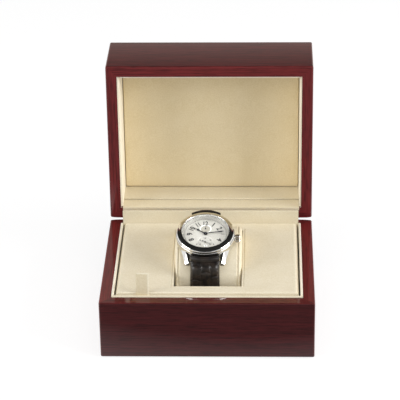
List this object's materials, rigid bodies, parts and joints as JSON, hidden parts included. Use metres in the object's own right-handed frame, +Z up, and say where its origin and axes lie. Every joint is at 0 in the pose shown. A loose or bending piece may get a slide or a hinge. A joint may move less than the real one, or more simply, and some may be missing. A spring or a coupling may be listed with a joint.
{
  "type": "chronometer wristwatch in presentation box",
  "caption": "Chronometer wristwatch with small seconds and reserve dial, strapped round a tilted pillow in a hinged lacquered wooden presentation box with a lift-out tray.",
  "frame": {"origin": "middle of the box's underside, where the felt rests", "axes": "+Z up, +Y from the front towards the hinges, +X to the right seen from the front"},
  "size_m": [0.148, 0.1733, 0.1644],
  "materials": {
    "lacquered_wood": "polished red-brown lacquer over straight grain",
    "felt": "short pile",
    "cream_lining": "fine-grained cream leatherette",
    "cream_pillow": "soft cream leatherette",
    "hinge_brass": "polished",
    "polished_steel": "mirror polished",
    "plain_steel": "fine ground",
    "dial_silver": "matt silver-white",
    "flange_silver": "circular brushed",
    "crystal": "clear sapphire",
    "black_strap": "scaled black leather",
    "hand_black": "dark blued",
    "gilt_brass": "fine ground",
    "plated_bridge": "striped rhodium plate",
    "gasket_rubber": "matt"
  },
  "bodies": {
    "base": {"base_front_board": "lacquered_wood", "base_back_board": "lacquered_wood", "base_left_board": "lacquered_wood", "base_right_board": "lacquered_wood", "base_floor": "lacquered_wood", "base_felt": "felt", "base_liner": "cream_lining", "back_lip": "cream_lining", "hinge_base_leaves": "hinge_brass", "hinge_pins": "plain_steel"},
    "lid": {"lid_front_board": "lacquered_wood", "lid_back_board": "lacquered_wood", "lid_left_board": "lacquered_wood", "lid_right_board": "lacquered_wood", "lid_top_board": "lacquered_wood", "lid_liner": "cream_lining", "lid_panel": "cream_lining", "hinge_lid_leaves": "hinge_brass"},
    "tray": {"tray_panel": "cream_lining", "well_walls": "cream_lining", "well_floor": "cream_lining", "pull_tab": "cream_lining"},
    "pillow": {"watch_pillow": "cream_pillow", "strap_front": "black_strap", "strap_rear": "black_strap", "strap_keepers": "black_strap", "buckle_frame": "polished_steel", "buckle_tongue": "polished_steel", "spring_bars": "plain_steel", "case_middle": "polished_steel", "bezel": "polished_steel", "crystal": "crystal", "flange_ring": "flange_silver", "dial": "dial_silver", "case_back": "polished_steel", "case_gasket": "gasket_rubber", "crown_tube": "plain_steel", "movement_ring": "gilt_brass", "main_plate": "plated_bridge", "train_bridge": "plated_bridge", "balance_cock": "plated_bridge"},
    "stem": {"winding_stem": "plain_steel"},
    "crown": {"crown": "polished_steel"},
    "minute": {"minute_hand": "hand_black", "cannon_pinion": "plain_steel"},
    "motion": {"minute_wheel": "gilt_brass"},
    "hour": {"hour_hand": "hand_black", "hour_wheel": "gilt_brass"},
    "seconds": {"seconds_hand": "hand_black", "fourth_wheel": "gilt_brass"},
    "third": {"third_wheel": "gilt_brass"},
    "centre": {"centre_wheel": "gilt_brass"},
    "mainspring_barrel": {"barrel": "gilt_brass"},
    "escape": {"escape_wheel": "plain_steel"},
    "pallet": {"pallet_fork": "plain_steel"},
    "balance": {"balance_wheel": "gilt_brass", "balance_spring": "hand_black"},
    "rotor": {"winding_rotor": "gilt_brass"},
    "reserve": {"reserve_hand": "hand_black"}
  },
  "joints": [
    {"name": "lid_hinge", "type": "hinge", "parent": "base", "child": "lid", "pos_m": [0, 0.06065, 0.04415], "axis": [1, 0, 0], "range_deg": [0, 92.3]},
    {"name": "tray_lift", "type": "slide", "parent": "base", "child": "tray", "axis": [0, 0, -1], "range_m": [-0.06, 0]},
    {"name": "pillow_lift", "type": "slide", "parent": "tray", "child": "pillow", "axis": [0, 0, -1], "range_m": [-0.055, 0]},
    {"name": "crown_pull", "type": "slide", "parent": "pillow", "child": "stem", "axis": [1, 0, 0], "range_m": [0, 0.0016]},
    {"name": "crown_turn", "type": "hinge", "parent": "stem", "child": "crown", "pos_m": [0.02, -0.00279, 0.06277], "axis": [1, 0, 0], "continuous": true},
    {"name": "minute_turn", "type": "hinge", "parent": "pillow", "child": "minute", "pos_m": [-0.002, -0.00382, 0.06664], "axis": [0, -0.2588, 0.9659], "continuous": true},
    {"name": "minute_wheel_turn", "type": "hinge", "parent": "pillow", "child": "motion", "pos_m": [0.0004, -0.00357, 0.06567], "axis": [0, -0.2588, 0.9659], "continuous": true},
    {"name": "hour_turn", "type": "hinge", "parent": "pillow", "child": "hour", "pos_m": [-0.002, -0.00382, 0.06664], "axis": [0, -0.2588, 0.9659], "continuous": true},
    {"name": "seconds_turn", "type": "hinge", "parent": "pillow", "child": "seconds", "pos_m": [-0.002, -0.01155, 0.06457], "axis": [0, -0.2588, 0.9659], "continuous": true},
    {"name": "third_turn", "type": "hinge", "parent": "pillow", "child": "third", "pos_m": [-0.00572, -0.00741, 0.06257], "axis": [0, -0.2588, 0.9659], "continuous": true},
    {"name": "centre_turn", "type": "hinge", "parent": "pillow", "child": "centre", "pos_m": [-0.002, -0.00305, 0.06374], "axis": [0, -0.2588, 0.9659], "continuous": true},
    {"name": "barrel_turn", "type": "hinge", "parent": "pillow", "child": "mainspring_barrel", "pos_m": [-0.00446, 0.00349, 0.06549], "axis": [0, -0.2588, 0.9659], "continuous": true},
    {"name": "escape_turn", "type": "hinge", "parent": "pillow", "child": "escape", "pos_m": [0.0019, -0.01278, 0.06113], "axis": [0, -0.2588, 0.9659], "continuous": true},
    {"name": "pallet_rock", "type": "hinge", "parent": "pillow", "child": "pallet", "pos_m": [0.00402, -0.01101, 0.06161], "axis": [0, -0.2588, 0.9659], "range_deg": [-5, 5]},
    {"name": "balance_swing", "type": "hinge", "parent": "pillow", "child": "balance", "pos_m": [0.00673, -0.00847, 0.06125], "axis": [0, -0.2588, 0.9659], "range_deg": [-135, 135], "stiffness_Nm_per_rad": 0.0000008},
    {"name": "rotor_turn", "type": "hinge", "parent": "pillow", "child": "rotor", "pos_m": [-0.002, -0.00227, 0.06084], "axis": [0, -0.2588, 0.9659], "continuous": true},
    {"name": "reserve_turn", "type": "hinge", "parent": "pillow", "child": "reserve", "pos_m": [-0.002, 0.0012, 0.06798], "axis": [0, -0.2588, 0.9659], "range_deg": [-70, 70]}
  ],
  "couplings": [
    {"joint": "minute_wheel_turn", "follows": "minute_turn", "ratio": -0.33333},
    {"joint": "hour_turn", "follows": "minute_turn", "ratio": 0.083333},
    {"joint": "third_turn", "follows": "seconds_turn", "ratio": -0.13333},
    {"joint": "centre_turn", "follows": "seconds_turn", "ratio": 0.016667},
    {"joint": "barrel_turn", "follows": "seconds_turn", "ratio": -0.0020833},
    {"joint": "escape_turn", "follows": "seconds_turn", "ratio": -12}
  ]
}
